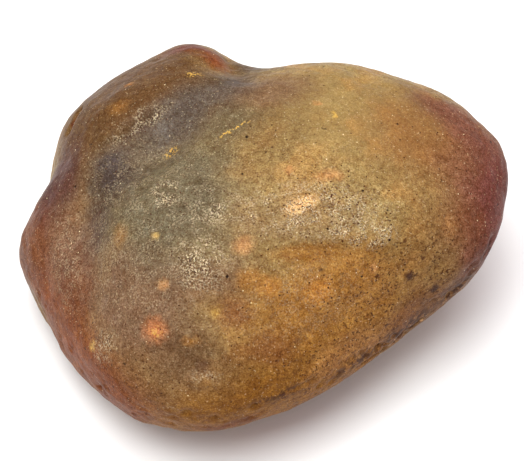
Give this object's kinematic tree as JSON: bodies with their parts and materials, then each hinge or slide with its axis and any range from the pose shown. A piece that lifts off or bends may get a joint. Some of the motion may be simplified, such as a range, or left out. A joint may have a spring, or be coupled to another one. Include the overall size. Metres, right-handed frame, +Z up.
{
  "type": "raw carnelian",
  "caption": "Rough, water-worn carnelian nodule with a shoulder lobe at one end, a tapered end and a flat worn foot.",
  "frame": {"origin": "on the surface the stone rests on, under the middle of its bounding box", "axes": "+X along the stone's length towards its narrow end, +Y across it away from the side with the steeper face, +Z up from the surface it rests on"},
  "size_m": [0.0606, 0.0522, 0.0286],
  "materials": {
    "carnelian": "waxy, finely pitted"
  },
  "bodies": {
    "root": {"carnelian": "carnelian"}
  },
  "joints": []
}
